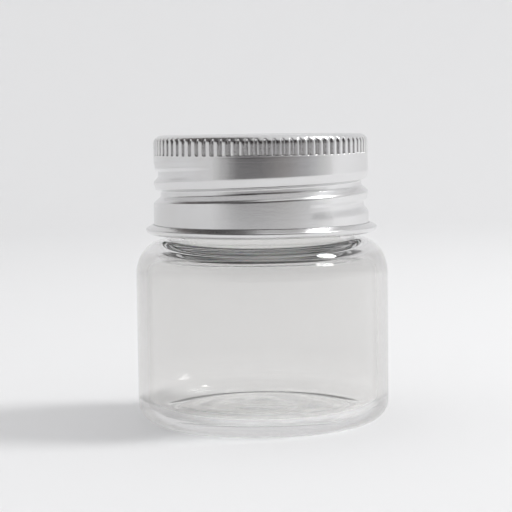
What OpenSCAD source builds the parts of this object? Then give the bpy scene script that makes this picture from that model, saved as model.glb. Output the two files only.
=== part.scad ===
/* [Vial body] */
// Outside diameter of the glass body
body_d = 22; // [20:0.5:26]
// Thickness of the glass wall
glass_t = 1; // [0.8:0.1:1.2]
// Outside diameter of the contact ring that the vial stands on
foot_d = 18; // [17:0.5:18.5]
// Inside diameter of the contact ring
foot_in_d = 16.4; // [14:0.2:16.6]
// Height of the rounded heel
heel_h = 1.8; // [1.2:0.1:2.4]
// Height of the pushed-up middle of the base
push_up = 0.5; // [0.3:0.1:0.8]
// Thickness of the glass base
base_t = 1.2; // [1:0.1:1.5]
// Height where the straight wall turns into the shoulder
shoulder_z = 12.95; // [12:0.05:13]
// Rise of the shoulder curve above the straight wall
shoulder_h = 3.05; // [2.9:0.05:3.1]
// Width of the shoulder curve, inwards from the wall
shoulder_w = 2.6; // [2.4:0.1:2.8]

/* [Neck] */
// Outside diameter of the neck, without its thread
neck_d = 15.9; // [15.5:0.1:16]
// Diameter over the neck's thread
neck_thread_d = 17.7; // [17.3:0.1:17.8]
// Width of the neck's thread at its root
neck_thread_w = 1.1; // [0.9:0.05:1.15]
// Turns of full thread on the neck
neck_turns = 1.3; // [1:0.05:1.3]

/* [Cap] */
// Height of the closed vial, to the top of the cap
total_h = 25; // [24.6:0.1:25.4]
// Outside diameter of the cap's skirt
skirt_d = 18.72; // [18.6:0.02:18.9]
// Outside diameter of the cap above its skirt, over the ribs of the knurled band
crown_d = 18.6; // [18.3:0.02:18.6]
// Thickness of the cap's sheet
sheet_t = 0.21; // [0.18:0.01:0.22]
// Outside radius of the rounded edge between panel and skirt
corner_r = 0.7; // [0.5:0.1:0.7]
// Diameter over the curl at the cap's lower edge
curl_d = 20.14; // [20:0.02:20.3]
// Outside radius of the curl's section
curl_r = 0.5; // [0.44:0.01:0.52]
// Height of the curl's centre above the surface the vial stands on
curl_z = 16.98; // [16.9:0.02:17.2]

/* [Knurl] */
// Number of grooves in the knurled band
knurl_count = 78; // [60:1:90]
// Depth of each groove
knurl_depth = 0.24; // [0.1:0.02:0.26]
// Radius of each groove's rounded bottom
knurl_r = 0.22; // [0.16:0.02:0.26]
// Height of the lower end of the grooves
knurl_z = 23.3; // [23.2:0.1:23.4]

/* [Thread] */
// Rise of the thread in one turn
pitch = 1.75; // [1.7:0.05:1.9]
// Depth of the thread rolled into the cap
roll_depth = 0.62; // [0.5:0.02:0.64]
// Width of the thread rolled into the cap
roll_w = 1.7; // [1.4:0.1:1.8]
// Height of the rolled thread's middle on the +X side, where it starts
roll_z = 19.25; // [19.15:0.05:19.35]
// Height that the neck's thread lies above the cap's thread
thread_rise = 0.76; // [0.74:0.02:0.86]

/* [Liner] */
// Diameter of the foam sealing disc
liner_d = 17.4; // [16.8:0.1:17.5]
// Thickness of the foam sealing disc
liner_t = 1; // [0.9:0.05:1.1]

/* [Hidden] */
$fn = 96;

body_r = body_d / 2;
inner_r = body_r - glass_t;
neck_r = neck_d / 2;
bore_r = neck_r - glass_t;
foot_r = foot_d / 2;
foot_in_r = foot_in_d / 2;
skirt_r = skirt_d / 2;
skirt_in_r = skirt_r - sheet_t;
crown_r = crown_d / 2;
crown_in_r = crown_r - knurl_depth - sheet_t;
// height of the grooves' upper end, half way up the rounded edge
knurl_top = total_h - corner_r / 2;
// a hair's gap between faces that slide on each other
slip = 0.03;
// height of the liner's faces and of the glass rim that it seals
liner_top = total_h - sheet_t - slip;
liner_bottom = liner_top - liner_t;
rim_z = liner_bottom - slip;
// radius of the fire-polished rim and of the fillet under the neck
rim_r = glass_t / 2;
neck_fillet = 0.45;
// radius where the shoulder curve ends, never further in than the fillet
shoulder_in_r = max(body_r - shoulder_w, neck_r + neck_fillet);
// radius of the bend inside that fillet, round which the wall thins a little
bend_thinning = 0.05;
bore_bend = neck_fillet + glass_t - bend_thinning;
// radius of the rounded corner between the inside wall and the floor
floor_corner = 0.9;
// steps in each quarter round of a turned outline
round_steps = 10;

// threads: full turns of the cap's thread, and the turns over which an end fades out
roll_turns = 1.5;
roll_run_out = 0.18;
neck_fade = 0.1;
// the neck's thread ends this far under the surface of the neck
neck_sink = 0.1;
thread_steps = 60;
// the skirt: plain up to skirt_z0, threaded up to skirt_z1, as rows of points
skirt_z0 = 18.1;
skirt_z1 = 23.1;
skirt_rows = 21;
skirt_steps = 72;

// points of a quarter ellipse about c, with radii a and b, from angle s to angle e
function arc(c, a, b, s, e) = [
    for (i = [0:round_steps])
        let (t = s + (e - s) * i / round_steps)
        [c[0] + a * cos(t), c[1] + b * sin(t)]
];

// an arc's points but the first, where the one before it ends at the same place
function without_first(points) = [for (i = [1:len(points) - 1]) points[i]];

function clamp01(x) = max(0, min(1, x));

// share of the full thread depth at u turns from the start of a thread that is n turns long
function fade(u, n, run) =
    sin(90 * clamp01((u + run) / (2 * run))) * sin(90 * clamp01((n + run - u) / (2 * run)));

// depth of the rolled thread at a height z, u turns from its start: a rounded V
function roll_pass(z, u) =
    let (x = abs(z - roll_z - pitch * u) / (roll_w / 2))
    u < -roll_run_out || u > roll_turns + roll_run_out || x > 1 ? 0
        : roll_depth * fade(u, roll_turns, roll_run_out) * pow(cos(90 * x), 1.4);

// the rolled thread passes an angle once or twice
function roll_in(z, a) = max(roll_pass(z, a / 360 - 1), roll_pass(z, a / 360), roll_pass(z, a / 360 + 1));

module vial_outline() {
    polygon(concat(
        // pushed-up base, from the axis to the contact ring
        [for (i = [0:round_steps])
            let (r = foot_in_r * i / round_steps)
            [r, push_up * (1 + cos(180 * r / foot_in_r)) / 2]],
        // heel, wall and shoulder
        arc([foot_r, heel_h], body_r - foot_r, heel_h, -90, 0),
        arc([shoulder_in_r, shoulder_z], body_r - shoulder_in_r, shoulder_h, 0, 90),
        // fillet, neck and rim
        without_first(arc([neck_r + neck_fillet, shoulder_z + shoulder_h + neck_fillet],
            neck_fillet, neck_fillet, 270, 180)),
        arc([neck_r - rim_r, rim_z - rim_r], rim_r, rim_r, 0, 180),
        // bore and inside of the shoulder
        arc([bore_r + bore_bend, shoulder_z + shoulder_h - glass_t + bore_bend],
            -bore_bend, -bore_bend, 0, 90),
        arc([shoulder_in_r, shoulder_z],
            inner_r - shoulder_in_r, shoulder_h - glass_t, 90, 0),
        // inside wall, rounded corner and floor
        arc([inner_r - floor_corner, base_t + floor_corner], floor_corner, floor_corner, 0, -90),
        [for (i = [round_steps:-1:0])
            let (r = foot_in_r * i / round_steps)
            [r, base_t + push_up * (1 + cos(180 * r / foot_in_r)) / 2]]
    ));
}

// the neck's thread: a ridge swept along the helix, its foot inside the neck wall, its ends faded out
module neck_thread() {
    inside_r = neck_r - glass_t / 2;
    root_r = neck_r - neck_sink;
    full_height = neck_thread_d / 2 - root_r;
    turns_in = [for (i = [0:thread_steps]) -neck_fade + (neck_turns + 2 * neck_fade) * i / thread_steps];
    // height and width of the ridge's section, as shares of the full ridge
    section = [[0, -0.5], [0.45, -0.4], [0.85, -0.22], [1, 0], [0.85, 0.22], [0.45, 0.4], [0, 0.5]];
    sides = len(section);
    points = [
        for (u = turns_in)
            for (p = section)
                let (height = full_height * fade(u, neck_turns, neck_fade))
                let (r = p[0] == 0 ? inside_r : root_r + height * p[0])
                [r * cos(360 * u), r * sin(360 * u),
                 roll_z + thread_rise + pitch * u + p[1] * neck_thread_w]
    ];
    faces = concat(
        [[for (j = [sides - 1:-1:0]) j]],
        [for (i = [0:thread_steps - 1]) for (j = [0:sides - 1])
            let (k = (j + 1) % sides)
            [i * sides + j, i * sides + k, (i + 1) * sides + k, (i + 1) * sides + j]],
        [[for (j = [0:sides - 1]) thread_steps * sides + j]]
    );
    polyhedron(points = points, faces = faces, convexity = 8);
}

module glass_vial() {
    color([0.85, 0.88, 0.88, 0.4]) {
        rotate_extrude() vial_outline();
        neck_thread();
    }
}

// height of a row of the skirt's points: one at the curl's middle, the rest up the threaded band
function row_z(i) = i == 0 ? curl_z : skirt_z0 + (skirt_z1 - skirt_z0) * (i - 1) / (skirt_rows - 1);

// the skirt with its rolled thread, as rows of points outside and inside; its lower end is in the curl
module skirt() {
    rows = skirt_rows + 1;
    n = skirt_steps;
    points = [
        for (surface_r = [skirt_r, skirt_in_r])
            for (i = [0:skirt_rows])
                for (j = [0:n - 1])
                    let (a = 360 * j / n)
                    let (r = surface_r - roll_in(row_z(i), a))
                    [r * cos(a), r * sin(a), row_z(i)]
    ];
    inside = rows * n;
    top = skirt_rows * n;
    faces = [
        for (j = [0:n - 1])
            let (k = (j + 1) % n)
            each concat(
                [for (i = [0:skirt_rows - 1])
                    let (low = i * n, high = low + n)
                    [low + j, high + j, high + k, low + k]],
                [for (i = [0:skirt_rows - 1])
                    let (low = inside + i * n, high = low + n)
                    [low + k, high + k, high + j, low + j]],
                [[j, k, inside + k, inside + j]],
                [[top + k, top + j, inside + top + j, inside + top + k]]
            )
    ];
    polyhedron(points = points, faces = faces, convexity = 8);
}

// section of the panel, the rounded edge and the knurled band
module crown_outline() {
    difference() {
        union() {
            translate([0, skirt_z1]) square([crown_r, total_h - corner_r - skirt_z1]);
            translate([0, total_h - corner_r]) square([crown_r - corner_r, corner_r]);
            translate([crown_r - corner_r, total_h - corner_r]) circle(r = corner_r);
        }
        translate([0, skirt_z1 - 1]) square([crown_in_r, total_h - sheet_t - skirt_z1 + 1]);
    }
}

// the curl, rolled shut
module curl() {
    rotate_extrude() translate([curl_d / 2 - curl_r, curl_z]) circle(r = curl_r);
}

module knurl_groove() {
    translate([crown_r - knurl_depth + knurl_r, 0, knurl_z])
        cylinder(r = knurl_r, h = knurl_top - knurl_z, $fn = 24);
}

module screw_cap() {
    color("silver") {
        difference() {
            rotate_extrude() crown_outline();
            for (i = [0:knurl_count - 1])
                rotate([0, 0, 360 * i / knurl_count]) knurl_groove();
        }
        skirt();
        curl();
    }
}

module cap_liner() {
    color("white") translate([0, 0, liner_bottom]) cylinder(d = liner_d, h = liner_t);
}

glass_vial();
screw_cap();
cap_liner();
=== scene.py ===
"""Gold sample vial: clear tube glass with a rolled aluminium screw cap and a foam liner.

Lengths below are millimetres in the CAD frame, +Z up, and become metres as the meshes are made.
"""

import math

import bpy
import numpy as np
from mathutils import Euler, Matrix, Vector


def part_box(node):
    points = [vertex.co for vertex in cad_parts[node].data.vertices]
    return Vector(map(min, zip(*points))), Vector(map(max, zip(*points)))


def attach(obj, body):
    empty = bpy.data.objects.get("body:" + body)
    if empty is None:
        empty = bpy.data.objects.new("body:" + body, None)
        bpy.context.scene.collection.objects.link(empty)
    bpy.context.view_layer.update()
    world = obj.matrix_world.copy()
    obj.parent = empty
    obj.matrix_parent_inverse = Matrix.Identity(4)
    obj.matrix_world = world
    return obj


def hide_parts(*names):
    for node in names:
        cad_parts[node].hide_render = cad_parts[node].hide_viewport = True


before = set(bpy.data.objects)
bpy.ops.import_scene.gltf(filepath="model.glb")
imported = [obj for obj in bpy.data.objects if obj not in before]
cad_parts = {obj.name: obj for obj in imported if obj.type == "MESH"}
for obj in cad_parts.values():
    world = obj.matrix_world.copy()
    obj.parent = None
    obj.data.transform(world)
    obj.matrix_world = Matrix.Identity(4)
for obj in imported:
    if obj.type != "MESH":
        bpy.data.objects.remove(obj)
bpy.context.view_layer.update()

MM = 0.001
TAU = 2 * math.pi


def mm_box(node):
    low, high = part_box(node)
    return low / MM, high / MM


# --- driving sizes: outer ones from the frame, the rest are named here ---
glass_low, glass_high = mm_box("glass_vial")
cap_low, cap_high = mm_box("screw_cap")
liner_low, liner_high = mm_box("cap_liner")

BODY_R = (glass_high.x - glass_low.x) / 2
RIM_Z = glass_high.z
GLASS_T = 1.0
FOOT_R = 9.0
FOOT_IN_R = 8.2  # inside of the contact ring
HEEL_H = 1.8
PUSH_UP = 0.5
RING_STEP = 0.3  # rise of the underside just inside the contact ring
BASE_T = 1.2
FLOOR_CORNER = 1.3
FLOOR_DIP, FLOOR_DIP_R, FLOOR_DIP_W = 0.10, 7.65, 0.68  # a shallow dip round the floor
SHOULDER_Z = 12.95
SHOULDER_H = 3.05
SHOULDER_W = 2.6
SHOULDER_T = 1.22  # glass at the top of the shoulder, thicker than the wall
NECK_R = 7.95
NECK_FILLET = 0.45
BORE_BEND = 1.4
NECK_THREAD_R = 8.85
NECK_THREAD_W = 1.1
NECK_TURNS = 1.3
NECK_FADE = 0.1  # turns over which an end of the neck's thread fades

TOTAL_H = cap_high.z
CURL_OUT_R = (cap_high.x - cap_low.x) / 2
SHEET_T = 0.21
SKIRT_R = 9.36
SKIRT_LOW = 18.0  # lowest height that the rolled thread reaches
CROWN_R = 9.30
CORNER_R = 0.7
CURL_R = 0.5
CURL_EDGE_R = 0.15
CURL_EDGE_Z = cap_low.z + 0.42
CURL_SLOPE = 27  # degrees that the top of the curl falls outwards
CURL_UNDER = 15  # degrees below level where the free edge's small round meets the large one
CURL_HOLLOW_R = 0.22
CURL_GAP = 0.06  # between the skirt and the curl's free edge
KNURL_COUNT = 78
KNURL_DEPTH = 0.24
KNURL_Z0 = 23.3
KNURL_Z1 = 24.82
KNURL_HALF_W = 0.23  # of a groove, as a share of the knurl's spacing
TAPER_Z = 21.3  # height above which the skirt narrows towards the crown
PITCH = 1.75
ROLL_DEPTH = 0.62
ROLL_LOW = 1.05  # how far the rolled thread's lower flank reaches below its middle
ROLL_Z = 19.25
ROLL_TURNS = 1.5
ROLL_RUN_OUT = 0.18
THREAD_RISE = 0.76  # of the neck's thread above the cap's

LINER_R = (liner_high.x - liner_low.x) / 2
LINER_EDGE = 0.12
RIM_DENT = 0.07  # depth that the glass rim pressed into the foam


# --- small helpers ---
def smooth_step(x):
    x = np.clip(x, 0.0, 1.0)
    return x * x * (3 - 2 * x)


def arc(centre, a, b, start, end, count):
    """Points of an elliptical arc, angles in degrees."""
    t = np.radians(np.linspace(start, end, count))
    return [(centre[0] + a * math.cos(x), centre[1] + b * math.sin(x)) for x in t]


def line(p, q, count):
    """Points from p to q, without p itself."""
    return [
        (p[0] + (q[0] - p[0]) * i / count, p[1] + (q[1] - p[1]) * i / count)
        for i in range(1, count + 1)
    ]


def fade(u, turns, run):
    """Share of a thread's full height, u turns from its start."""
    rise = np.sin(math.pi / 2 * np.clip((u + run) / (2 * run), 0, 1))
    fall = np.sin(math.pi / 2 * np.clip((turns + run - u) / (2 * run), 0, 1))
    return rise * fall


def helix(z, angle, z0, turns, run, section):
    """Share of a thread's height at a height z and angle: the highest of the passes there."""
    share = np.zeros_like(z + angle)
    for whole in (-1, 0, 1):
        u = angle / TAU + whole
        inside = (u > -run) & (u < turns + run)
        one = fade(u, turns, run) * section(z - z0 - PITCH * u)
        share = np.maximum(share, np.where(inside, one, 0.0))
    return share


def roll_section(z):
    """Section of the rolled thread: a slow then steep upper flank, and a longer lower one."""
    upper = 0.28 * smooth_step((0.92 - z) / 0.66) + 0.72 * smooth_step((0.24 - z) / 0.26)
    lower = smooth_step((z + ROLL_LOW) / (ROLL_LOW - 0.33))
    return upper * lower


def ridge_section(z):
    """Section of the glass thread: rounded."""
    return np.cos(math.pi / 2 * np.clip(np.abs(z) / (NECK_THREAD_W / 2), 0, 1)) ** 0.9


def roll_in(z, angle):
    """Depth of the thread rolled into the cap."""
    return ROLL_DEPTH * helix(z, angle, ROLL_Z, ROLL_TURNS, ROLL_RUN_OUT, roll_section)


def neck_ridge(z, angle):
    """Height of the glass thread on the neck."""
    full = NECK_THREAD_R - NECK_R
    return full * helix(z, angle, ROLL_Z + THREAD_RISE, NECK_TURNS, NECK_FADE, ridge_section)


def mesh_object(name, verts, faces, body, node=None):
    """A smooth mesh piece, verts in millimetres, that rides on a body and may replace a node."""
    mesh = bpy.data.meshes.new(name)
    mesh.from_pydata((np.array(verts) * MM).tolist(), [], faces)
    mesh.validate()
    mesh.shade_smooth()
    obj = bpy.data.objects.new(name, mesh)
    bpy.context.scene.collection.objects.link(obj)
    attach(obj, body)
    if node:
        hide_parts(node)
    return obj


class Rings:
    """A closed skin of revolution, made ring by ring from one pole to the other."""

    def __init__(self, pole_z):
        self.verts = [(0.0, 0.0, pole_z)]
        self.faces = []
        self.last = None

    def ring(self, radius, z, angles):
        """radius and z may differ from point to point. The next ring may have half the points."""
        n = len(angles)
        r = np.broadcast_to(radius, n)
        h = np.broadcast_to(z, n)
        base = len(self.verts)
        self.verts.extend(
            zip((r * np.cos(angles)).tolist(), (r * np.sin(angles)).tolist(), h.tolist())
        )
        if self.last is None:
            self.faces += [(0, base + i, base + (i + 1) % n) for i in range(n)]
        else:
            self.join(base, n)
        self.last = (base, n)

    def join(self, base, n):
        above, m = self.last
        if m == n:
            self.faces += [
                (above + i, base + i, base + (i + 1) % n, above + (i + 1) % n)
                for i in range(n)
            ]
        elif m == 2 * n:
            for i in range(n):
                a, b, c = (above + (2 * i + k) % m for k in range(3))
                p, q = base + i, base + (i + 1) % n
                self.faces += [(a, p, b), (b, p, q), (b, q, c)]
        elif n == 2 * m:
            for i in range(m):
                a, b, c = (base + (2 * i + k) % n for k in range(3))
                p, q = above + i, above + (i + 1) % m
                self.faces += [(p, a, b), (p, b, q), (q, b, c)]
        else:
            raise ValueError("rings join at the same, half or twice the count")

    def close(self, pole_z):
        start, n = self.last
        tip = len(self.verts)
        self.verts.append((0.0, 0.0, pole_z))
        self.faces += [(start + i, tip, start + (i + 1) % n) for i in range(n)]


# --- glass vial ---
def base_wave(r, angle):
    """Ripples that the closing of the tube left in the base: rings and a faint swirl."""
    rings = 0.11 * np.cos(TAU * r / 4.4) * np.exp(-((r / 4.5) ** 2))
    swirl = 0.08 * np.cos(TAU * r / 5.0 - angle + 0.6) * np.exp(-(((r - 4.8) / 2.4) ** 2))
    return (rings + swirl) * smooth_step((FOOT_IN_R - r) / 1.5)


def push(r):
    """Height of the pushed-up middle of the base."""
    return PUSH_UP * (1 + math.cos(math.pi * min(r / FOOT_IN_R, 1))) / 2


def glass_vial():
    segments = 240
    pole_r = 0.15  # radius of the smallest ring, next to the axis
    angles = np.arange(segments) * TAU / segments
    shell = Rings(push(0) + RING_STEP + 0.5 * float(base_wave(0.0, 0.0)))
    shoulder_c = (BODY_R - SHOULDER_W, SHOULDER_Z)
    shoulder_top = SHOULDER_Z + SHOULDER_H
    bore_r = NECK_R - GLASS_T

    # underside, from the axis to the contact ring, with a small step where the ring begins
    for r in np.linspace(pole_r, FOOT_IN_R, 48):
        step = RING_STEP * smooth_step((FOOT_IN_R - r) / 0.7)
        shell.ring(r, push(r) + step + 0.5 * base_wave(r, angles), angles)
    outside = line((FOOT_IN_R, 0), (FOOT_R, 0), 4)
    outside += arc((FOOT_R, HEEL_H), BODY_R - FOOT_R, HEEL_H, -90, 0, 24)[1:]
    outside += line((BODY_R, HEEL_H), (BODY_R, SHOULDER_Z), 20)
    outside += arc(shoulder_c, SHOULDER_W, SHOULDER_H, 0, 90, 36)[1:]
    fillet_c = (NECK_R + NECK_FILLET, shoulder_top + NECK_FILLET)
    outside += arc(fillet_c, NECK_FILLET, NECK_FILLET, 270, 180, 14)[1:]
    for r, z in outside:
        shell.ring(r, z, angles)
    # neck with its thread, and the fire-polished rim
    neck_rows = np.linspace(fillet_c[1], RIM_Z - GLASS_T / 2, 96)[1:]
    for z in neck_rows:
        shell.ring(NECK_R + neck_ridge(z, angles), z, angles)
    rim_c = (NECK_R - GLASS_T / 2, RIM_Z - GLASS_T / 2)
    inside = arc(rim_c, GLASS_T / 2, GLASS_T / 2, 0, 180, 24)[1:]
    bore_c = (bore_r + BORE_BEND, shoulder_top - SHOULDER_T + BORE_BEND)
    inside += line((bore_r, rim_c[1]), (bore_r, bore_c[1]), 16)
    inside += arc(bore_c, -BORE_BEND, -BORE_BEND, 0, 90, 20)[1:]
    under = (shoulder_c[0], shoulder_top - SHOULDER_T)
    inside += line((bore_c[0], under[1]), under, 5)
    inside += arc(shoulder_c, SHOULDER_W - GLASS_T, SHOULDER_H - SHOULDER_T, 90, 0, 30)[1:]
    inner_r = BODY_R - GLASS_T
    corner_c = (inner_r - FLOOR_CORNER, BASE_T + FLOOR_CORNER)
    inside += line((inner_r, SHOULDER_Z), (inner_r, corner_c[1]), 20)
    inside += arc(corner_c, FLOOR_CORNER, FLOOR_CORNER, 0, -90, 16)[1:]
    for r, z in inside:
        shell.ring(r, z, angles)
    # floor, back to the axis, with a shallow dip round its edge
    for r in np.linspace(corner_c[0], pole_r, 46)[1:]:
        dip = FLOOR_DIP * math.exp(-(((r - FLOOR_DIP_R) / FLOOR_DIP_W) ** 2))
        shell.ring(r, BASE_T + push(r) + base_wave(r, angles) - dip, angles)
    shell.close(BASE_T + push(0) + float(base_wave(0.0, 0.0)))
    vial = mesh_object("vial_glass", shell.verts, shell.faces, "vial", "glass_vial")
    vial.data.flip_normals()  # its rings run up the outside, so its faces start out facing inwards
    return vial


# --- screw cap ---
def knurl_angles():
    """Eight points to each rib, close together in its groove."""
    rib = TAU / KNURL_COUNT
    steps = np.array([-0.40, -0.24, -0.16, -0.08, 0.0, 0.08, 0.16, 0.24]) * rib
    return (np.arange(KNURL_COUNT)[:, None] * rib + steps[None, :]).ravel()


def knurl_depth(z, angles):
    """Depth of the knurl's grooves: rounded at the top, ending in a ledge at the bottom."""
    rib = TAU / KNURL_COUNT
    away = (np.mod(angles + rib / 2, rib) - rib / 2) / rib
    across = 0.5 + 0.5 * np.cos(math.pi * np.clip(np.abs(away) / KNURL_HALF_W, 0, 1))
    along = smooth_step((z - KNURL_Z0) / 0.12) * smooth_step((KNURL_Z1 - z) / 0.30)
    return KNURL_DEPTH * across * along


def screw_cap():
    fine = knurl_angles()
    coarse = fine[::2]
    skin = Rings(TOTAL_H)
    corner_c = (CROWN_R - CORNER_R, TOTAL_H - CORNER_R)

    # panel and rounded edge
    for r in (0.6, 2.0, 4.0, 6.0, 7.6, 8.3):
        skin.ring(r, TOTAL_H, coarse)
    for r, z in arc(corner_c, CORNER_R, CORNER_R, 90, 66, 7):
        skin.ring(r, z, coarse)
    for r, z in arc(corner_c, CORNER_R, CORNER_R, 62, 4, 16):
        skin.ring(r - knurl_depth(z, fine), z, fine)
    # knurled band, then the step out to the skirt
    for z in np.linspace(TOTAL_H - CORNER_R, KNURL_Z0 + 0.14, 8):
        skin.ring(CROWN_R - knurl_depth(z, fine), z, fine)
    for z in np.linspace(KNURL_Z0 + 0.12, KNURL_Z0 - 0.1, 10):
        skin.ring(CROWN_R - knurl_depth(z, fine), z, fine)
    # threaded skirt, a little tapered above its thread
    skirt_rows = np.linspace(KNURL_Z0 - 0.15, SKIRT_LOW, 80)
    for z in skirt_rows:
        taper = (SKIRT_R - CROWN_R) * np.clip((z - TAPER_Z) / (KNURL_Z0 - TAPER_Z), 0, 1)
        skin.ring(SKIRT_R - taper - roll_in(z, coarse), z, coarse)
    # curl: down the wall, round the hollow, over the free edge and back round the outside
    for z in (17.8, 17.6, 17.45, 17.3, 17.2, 17.05):
        skin.ring(SKIRT_R, z, coarse)
    edge_c = (CURL_OUT_R - CURL_EDGE_R, CURL_EDGE_Z)
    back = CURL_R - CURL_EDGE_R
    under = math.radians(CURL_UNDER)
    curl_c = (edge_c[0] - back * math.cos(under), edge_c[1] + back * math.sin(under))
    hollow_c = (curl_c[0] + 0.02, curl_c[1] - 0.1)
    for r, z in arc(hollow_c, CURL_HOLLOW_R, CURL_HOLLOW_R, -175, 130, 14):
        skin.ring(r, z, coarse)
    corner = arc(edge_c, CURL_EDGE_R, CURL_EDGE_R, 90 - CURL_SLOPE, -CURL_UNDER, 12)
    free_r = SKIRT_R + CURL_GAP
    free_z = corner[0][1] + (corner[0][0] - free_r) * math.tan(math.radians(CURL_SLOPE))
    outside = line((free_r - 0.001, free_z - 0.03), (free_r, free_z), 1)
    outside += line((free_r + 0.03, free_z + 0.005), corner[0], 7) + corner[1:]
    outside += arc(curl_c, CURL_R, CURL_R, -CURL_UNDER, -180, 26)[1:]
    for r, z in outside:
        skin.ring(r, z, coarse)
    # inside of the skirt with the thread's ridge, the crown and the panel
    inner_r = SKIRT_R - SHEET_T
    for z in np.linspace(curl_c[1] + 0.15, SKIRT_LOW, 5):
        skin.ring(inner_r, z, coarse)
    for z in np.linspace(SKIRT_LOW, KNURL_Z0 - 0.3, 48)[1:]:
        skin.ring(inner_r - roll_in(z, coarse), z, coarse)
    crown_in_r = CROWN_R - KNURL_DEPTH - SHEET_T
    inner_corner = CORNER_R - SHEET_T
    inner_c = (crown_in_r - inner_corner, TOTAL_H - SHEET_T - inner_corner)
    for r, z in arc((inner_r, KNURL_Z0), inner_r - crown_in_r, 0.25, -90, -180, 8):
        skin.ring(r, z, coarse)
    for r, z in arc(inner_c, inner_corner, inner_corner, 0, 90, 10):
        skin.ring(r, z, coarse)
    for r in (6.0, 4.0, 2.0, 0.6):
        skin.ring(r, TOTAL_H - SHEET_T, coarse)
    skin.close(TOTAL_H - SHEET_T)
    return mesh_object("cap_shell", skin.verts, skin.faces, "cap", "screw_cap")


# --- foam liner ---
def cap_liner():
    segments = 192
    angles = np.arange(segments) * TAU / segments
    edge = LINER_EDGE
    low, high = liner_low.z, liner_high.z
    skin = Rings(high)
    for r in (2.0, 4.0, 6.0, 8.0):
        skin.ring(r, high, angles)
    for r, z in arc((LINER_R - edge, high - edge), edge, edge, 90, 0, 6):
        skin.ring(r, z, angles)
    for r, z in arc((LINER_R - edge, low + edge), edge, edge, 0, -90, 6):
        skin.ring(r, z, angles)
    # the ring that the glass rim pressed into the foam
    rim_mid = NECK_R - GLASS_T / 2
    for r in np.linspace(rim_mid + 0.7, rim_mid - 0.7, 22):
        dent = RIM_DENT * math.exp(-(((r - rim_mid) / 0.3) ** 2))
        skin.ring(r, low + dent, angles)
    for r in (6.0, 4.0, 2.0):
        skin.ring(r, low, angles)
    skin.close(low)
    return mesh_object("liner_foam", skin.verts, skin.faces, "liner", "cap_liner")


# --- materials ---
MIRRORED = 1  # times that light may be mirrored before clear glass lets it straight through


def new_material(name):
    material = bpy.data.materials.new(name)
    material.use_nodes = True
    tree = material.node_tree
    return material, tree, tree.nodes["Principled BSDF"]


def node(tree, kind, inputs=None, **settings):
    made = tree.nodes.new(kind)
    for key, value in settings.items():
        setattr(made, key, value)
    for key, value in (inputs or {}).items():
        made.inputs[key].default_value = value
    return made


def ramp(tree, source, stops):
    """A colour ramp over source, with stops as (place, grey or colour)."""
    made = tree.nodes.new("ShaderNodeValToRGB")
    elements = made.color_ramp.elements
    while len(elements) < len(stops):
        elements.new(0.5)
    for element, (place, colour) in zip(elements, stops):
        element.position = place
        element.color = (*colour, 1) if isinstance(colour, tuple) else (colour,) * 3 + (1,)
    tree.links.new(source, made.inputs["Fac"])
    return made.outputs["Color"]


def lathe_space(tree):
    """Object coordinates, and (angle, radius, height) for marks that run round a turned piece."""
    place = node(tree, "ShaderNodeTexCoord")
    split = node(tree, "ShaderNodeSeparateXYZ")
    tree.links.new(place.outputs["Object"], split.inputs[0])
    turn = node(tree, "ShaderNodeMath", operation="ARCTAN2")
    tree.links.new(split.outputs["Y"], turn.inputs[0])
    tree.links.new(split.outputs["X"], turn.inputs[1])
    flat = node(tree, "ShaderNodeCombineXYZ")
    tree.links.new(split.outputs["X"], flat.inputs["X"])
    tree.links.new(split.outputs["Y"], flat.inputs["Y"])
    radius = node(tree, "ShaderNodeVectorMath", operation="LENGTH")
    tree.links.new(flat.outputs[0], radius.inputs[0])
    join = node(tree, "ShaderNodeCombineXYZ")
    tree.links.new(turn.outputs[0], join.inputs["X"])
    tree.links.new(radius.outputs["Value"], join.inputs["Y"])
    tree.links.new(split.outputs["Z"], join.inputs["Z"])
    return place.outputs["Object"], join.outputs[0]


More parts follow.
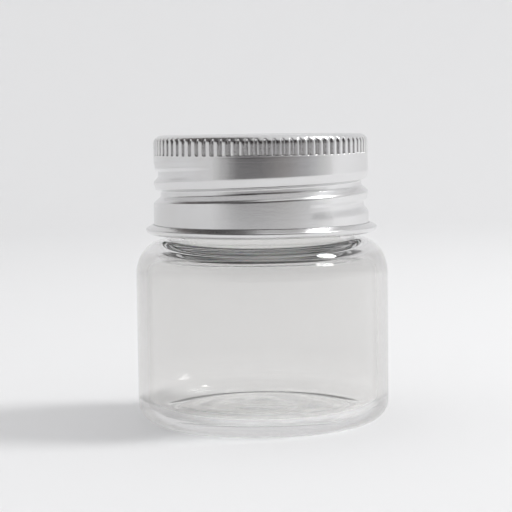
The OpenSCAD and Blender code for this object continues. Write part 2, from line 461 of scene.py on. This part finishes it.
def glass_material():
    material, tree, shader = new_material("clear_tube_glass")
    shader.inputs["Roughness"].default_value = 0.0
    shader.inputs["IOR"].default_value = 1.49
    shader.inputs["Transmission Weight"].default_value = 1.0
    place, turned = lathe_space(tree)
    # the wall's glass is tinted darker than the base's: painted shade on the wall, which leaves the
    # base lighter
    zone = node(tree, "ShaderNodeSeparateXYZ")
    tree.links.new(turned, zone.inputs[0])
    above = node(tree, "ShaderNodeMapRange", {"From Min": 0.002, "From Max": 0.005})
    tree.links.new(zone.outputs["Z"], above.inputs["Value"])
    wall_shade_colours = {"A": (0.95, 0.945, 0.935, 1), "B": (0.872, 0.868, 0.86, 1)}
    wall_shade = node(tree, "ShaderNodeMix", wall_shade_colours, data_type="RGBA")
    tree.links.new(above.outputs["Result"], wall_shade.inputs["Factor"])
    # seen edge-on, the outside of the wall is painted darker: painted shade towards its silhouette
    facing = node(tree, "ShaderNodeLayerWeight", {"Blend": 0.5})
    edge_shade_stops = [(0.50, 1.0), (0.58, (0.757, 0.749, 0.738)), (0.95, (0.688, 0.680, 0.669))]
    edge = ramp(tree, facing.outputs["Facing"], edge_shade_stops)
    wall = node(tree, "ShaderNodeMapRange", {"From Min": 0.0102, "From Max": 0.0105})
    tree.links.new(zone.outputs["Y"], wall.inputs["Value"])
    tint = node(tree, "ShaderNodeMix", data_type="RGBA", blend_type="MULTIPLY")
    tree.links.new(wall.outputs["Result"], tint.inputs["Factor"])
    tree.links.new(wall_shade.outputs["Result"], tint.inputs["A"])
    tree.links.new(edge, tint.inputs["B"])
    tree.links.new(tint.outputs["Result"], shader.inputs["Base Color"])
    wave = node(tree, "ShaderNodeTexNoise", {"Scale": 120.0, "Detail": 1.0, "Roughness": 0.4})
    tree.links.new(place, wave.inputs["Vector"])
    bump = node(tree, "ShaderNodeBump", {"Strength": 0.07, "Distance": 0.00025})
    tree.links.new(wave.outputs["Fac"], bump.inputs["Height"])
    tree.links.new(bump.outputs[0], shader.inputs["Normal"])
    # light mirrored about inside the glass goes straight on, and so does diffuse light
    straight = node(tree, "ShaderNodeBsdfRefraction", {"Roughness": 0.0, "IOR": 1.0})
    straight.inputs["Color"].default_value = (0.95, 0.95, 0.95, 1)
    rays = node(tree, "ShaderNodeLightPath")
    mirrored = node(tree, "ShaderNodeMath", {1: MIRRORED + 0.5}, operation="GREATER_THAN")
    tree.links.new(rays.outputs["Glossy Depth"], mirrored.inputs[0])
    soft = node(tree, "ShaderNodeMath", {1: 0.5}, operation="GREATER_THAN")
    tree.links.new(rays.outputs["Diffuse Depth"], soft.inputs[0])
    deep = node(tree, "ShaderNodeMath", operation="MAXIMUM")
    tree.links.new(mirrored.outputs[0], deep.inputs[0])
    tree.links.new(soft.outputs[0], deep.inputs[1])
    settle = node(tree, "ShaderNodeMixShader")
    tree.links.new(deep.outputs[0], settle.inputs[0])
    tree.links.new(shader.outputs[0], settle.inputs[1])
    tree.links.new(straight.outputs[0], settle.inputs[2])
    through = node(tree, "ShaderNodeBsdfTransparent")
    through.inputs["Color"].default_value = (0.90, 0.91, 0.91, 1)
    mix = node(tree, "ShaderNodeMixShader")
    tree.links.new(rays.outputs["Is Shadow Ray"], mix.inputs[0])
    tree.links.new(settle.outputs[0], mix.inputs[1])
    tree.links.new(through.outputs[0], mix.inputs[2])
    tree.links.new(mix.outputs[0], tree.nodes["Material Output"].inputs["Surface"])
    return material


def aluminium_material():
    material, tree, shader = new_material("satin_rolled_aluminium")
    shader.inputs["Metallic"].default_value = 1.0
    shader.inputs["Anisotropic"].default_value = 0.4
    shader.inputs["Anisotropic Rotation"].default_value = 0.25
    place, turned = lathe_space(tree)
    tangent = node(tree, "ShaderNodeTangent", direction_type="RADIAL", axis="Z")
    tree.links.new(tangent.outputs[0], shader.inputs["Tangent"])
    # drawing marks run round the cap: noise stretched along the turn
    stretch = node(tree, "ShaderNodeMapping")
    stretch.inputs["Scale"].default_value = (1.2, 9000.0, 9000.0)
    tree.links.new(turned, stretch.inputs["Vector"])
    marks = node(tree, "ShaderNodeTexNoise", {"Scale": 1.0, "Detail": 3.0, "Roughness": 0.6})
    tree.links.new(stretch.outputs[0], marks.inputs["Vector"])
    grain = node(tree, "ShaderNodeTexNoise", {"Scale": 5200.0, "Detail": 2.0, "Roughness": 0.6})
    tree.links.new(place, grain.inputs["Vector"])
    cloud = node(tree, "ShaderNodeTexNoise", {"Scale": 260.0, "Detail": 4.0, "Roughness": 0.55})
    tree.links.new(place, cloud.inputs["Vector"])
    metal_stops = [(0.3, (0.735, 0.73, 0.728)), (0.7, (0.785, 0.785, 0.79))]
    colour = ramp(tree, cloud.outputs["Fac"], metal_stops)
    tree.links.new(colour, shader.inputs["Base Color"])
    rough = ramp(tree, marks.outputs["Fac"], [(0.25, 0.20), (0.75, 0.25)])
    tree.links.new(rough, shader.inputs["Roughness"])
    heights = node(tree, "ShaderNodeMath", {1: 0.1}, operation="MULTIPLY_ADD")
    tree.links.new(marks.outputs["Fac"], heights.inputs[0])
    tree.links.new(grain.outputs["Fac"], heights.inputs[2])
    bump = node(tree, "ShaderNodeBump", {"Strength": 0.25, "Distance": 0.00001})
    tree.links.new(heights.outputs[0], bump.inputs["Height"])
    tree.links.new(bump.outputs[0], shader.inputs["Normal"])
    return material


def foam_material():
    material, tree, shader = new_material("closed_cell_foam")
    shader.inputs["Roughness"].default_value = 0.75
    shader.inputs["Subsurface Weight"].default_value = 0.15
    shader.inputs["Subsurface Scale"].default_value = 0.0006
    place, _ = lathe_space(tree)
    cells = node(tree, "ShaderNodeTexVoronoi", {"Scale": 4200.0})
    tree.links.new(place, cells.inputs["Vector"])
    patch = node(tree, "ShaderNodeTexNoise", {"Scale": 500.0, "Detail": 3.0})
    tree.links.new(place, patch.inputs["Vector"])
    foam_stops = [(0.3, (0.83, 0.83, 0.80)), (0.7, (0.90, 0.90, 0.88))]
    colour = ramp(tree, patch.outputs["Fac"], foam_stops)
    tree.links.new(colour, shader.inputs["Base Color"])
    bump = node(tree, "ShaderNodeBump", {"Strength": 0.4, "Distance": 0.00004})
    tree.links.new(cells.outputs["Distance"], bump.inputs["Height"])
    tree.links.new(bump.outputs[0], shader.inputs["Normal"])
    return material


# --- stage: floor with a swept backdrop, lights and camera ---
def stage_material():
    material, tree, shader = new_material("pale_paper")
    shader.inputs["Base Color"].default_value = (0.86, 0.86, 0.862, 1)
    shader.inputs["Roughness"].default_value = 0.9
    shader.inputs["Specular IOR Level"].default_value = 0.1
    return material


def make_stage():
    """A round floor that sweeps up all round into a low wall: a plain backdrop for every view."""
    segments = 128
    angles = np.arange(segments) * TAU / segments
    floor_r, sweep, wall = 260.0, 160.0, 180.0
    floor_z = -0.02  # a hair under the contact ring, so that glass and paper don't share a face
    skin = Rings(floor_z)
    for r in (40.0, 100.0, 180.0, floor_r):
        skin.ring(r, floor_z, angles)
    for r, z in arc((floor_r, sweep), sweep, sweep - floor_z, -90, 0, 24)[1:]:
        skin.ring(r, z, angles)
    skin.ring(floor_r + sweep, sweep + wall, angles)
    mesh = bpy.data.meshes.new("backdrop")
    mesh.from_pydata((np.array(skin.verts) * MM).tolist(), [], skin.faces)
    mesh.shade_smooth()
    backdrop = bpy.data.objects.new("backdrop", mesh)
    bpy.context.scene.collection.objects.link(backdrop)
    backdrop.data.materials.append(stage_material())


def room_card(name, profile, from_azimuth, to_azimuth, shades):
    """A curved part of the dim room, which only shiny things see.

    profile is (radius, height) points and shades are (azimuth, colour) along the card.
    Azimuth 0 is behind the camera and 90 to its right.
    """
    steps = 48
    span = to_azimuth - from_azimuth
    verts, faces, shares = [], [], []
    for i in range(steps + 1):
        a = math.radians(from_azimuth + span * i / steps)
        for r, z in profile:
            verts.append((r * math.sin(a) * MM, -r * math.cos(a) * MM, z * MM))
            shares.append(i / steps)
    rows = len(profile)
    for i in range(steps):
        for j in range(rows - 1):
            k = i * rows + j
            faces.append((k, k + rows, k + rows + 1, k + 1))
    mesh = bpy.data.meshes.new(name)
    mesh.from_pydata(verts, [], faces)
    along = mesh.attributes.new("along", "FLOAT", "POINT")
    along.data.foreach_set("value", shares)
    card = bpy.data.objects.new(name, mesh)
    bpy.context.scene.collection.objects.link(card)
    material, tree, shader = new_material(name)
    shader.inputs["Base Color"].default_value = (0, 0, 0, 1)
    shader.inputs["Roughness"].default_value = 1.0
    shader.inputs["Specular IOR Level"].default_value = 0.0
    shader.inputs["Emission Strength"].default_value = 1.0
    share = node(tree, "ShaderNodeAttribute", attribute_name="along")
    stops = [((azimuth - from_azimuth) / span, colour) for azimuth, colour in shades]
    tree.links.new(ramp(tree, share.outputs["Fac"], stops), shader.inputs["Emission Color"])
    card.data.materials.append(material)
    card.visible_camera = False
    card.visible_diffuse = False
    card.visible_shadow = False
    card.visible_transmission = False


def make_room():
    """Dim walls and ceiling of the room, in front of the vial and above it."""
    dark, dim = (0.03, 0.024, 0.026), (0.16, 0.145, 0.14)
    light = (0.75, 0.75, 0.75)
    wall = [(200.0, 12.0), (200.0, 110.0)]
    front = [(-52, light), (-24, dark), (0, dark), (24, dim), (50, (0.33, 0.33, 0.34)), (80, light)]
    room_card("room_front", wall, -52, 80, front)
    cornice = [(200.0, 110.0), (170.0, 190.0)]
    room_card("room_cornice", cornice, -130, 50, [(-130, dim), (-60, dark), (20, dark), (50, dim)])
    ceiling = [(170.0, 190.0), (110.0, 240.0), (10.0, 260.0)]
    glow = [(-130, dim), (-60, (0.1, 0.1, 0.1)), (-25, (0.25, 0.25, 0.25)), (0, light), (50, light)]
    room_card("room_ceiling", ceiling, -130, 50, glow)


def area_light(name, azimuth, elevation, distance, size, power):
    """A soft box that faces the vial. Azimuth 0 is behind the camera and 90 to its right."""
    a, e = math.radians(azimuth), math.radians(elevation)
    aim = Vector((math.sin(a) * math.cos(e), -math.cos(a) * math.cos(e), math.sin(e)))
    data = bpy.data.lights.new(name, "AREA")
    data.shape = "ELLIPSE"
    data.size, data.size_y = size
    data.energy = power
    light = bpy.data.objects.new(name, data)
    light.location = aim * distance + Vector((0, 0, 0.012))
    light.rotation_mode = "QUATERNION"
    light.rotation_quaternion = aim.to_track_quat("Z", "Y")
    bpy.context.scene.collection.objects.link(light)
    return light


def make_lights():
    area_light("window", 93, 52, 0.40, (0.10, 0.10), 0.62)
    world = bpy.data.worlds.new("studio")
    bpy.context.scene.world = world
    world.use_nodes = True
    sky = world.node_tree.nodes["Background"]
    sky.inputs["Color"].default_value = (0.99, 0.99, 1.0, 1)
    sky.inputs["Strength"].default_value = 0.775


def make_camera():
    """The eye is just above the cap's top, tipped down a little, with a long lens."""
    distance, height = 145.0, 26.3
    pitch, roll, yaw = 4.7, -0.75, 0.2
    focal_px, frame_px = 1661.0, 512.0
    data = bpy.data.cameras.new("camera")
    data.sensor_width = 36.0
    data.lens = focal_px / frame_px * data.sensor_width
    data.clip_start = 0.01
    camera = bpy.data.objects.new("camera", data)
    camera.location = (0.0, -distance * MM, height * MM)
    turn = Euler((math.radians(90 - pitch), 0, math.radians(yaw)), "XYZ").to_matrix()
    spin = Euler((0, 0, math.radians(roll)), "XYZ").to_matrix()
    camera.rotation_euler = (turn @ spin).to_euler()
    bpy.context.scene.collection.objects.link(camera)
    bpy.context.scene.camera = camera


def main():
    make_camera()
    vial, cap, liner = glass_vial(), screw_cap(), cap_liner()
    for piece, material in (
        (vial, glass_material()),
        (cap, aluminium_material()),
        (liner, foam_material()),
    ):
        piece.data.materials.append(material)
    make_stage()
    make_room()
    make_lights()
    bpy.context.scene.view_settings.view_transform = "Standard"


main()
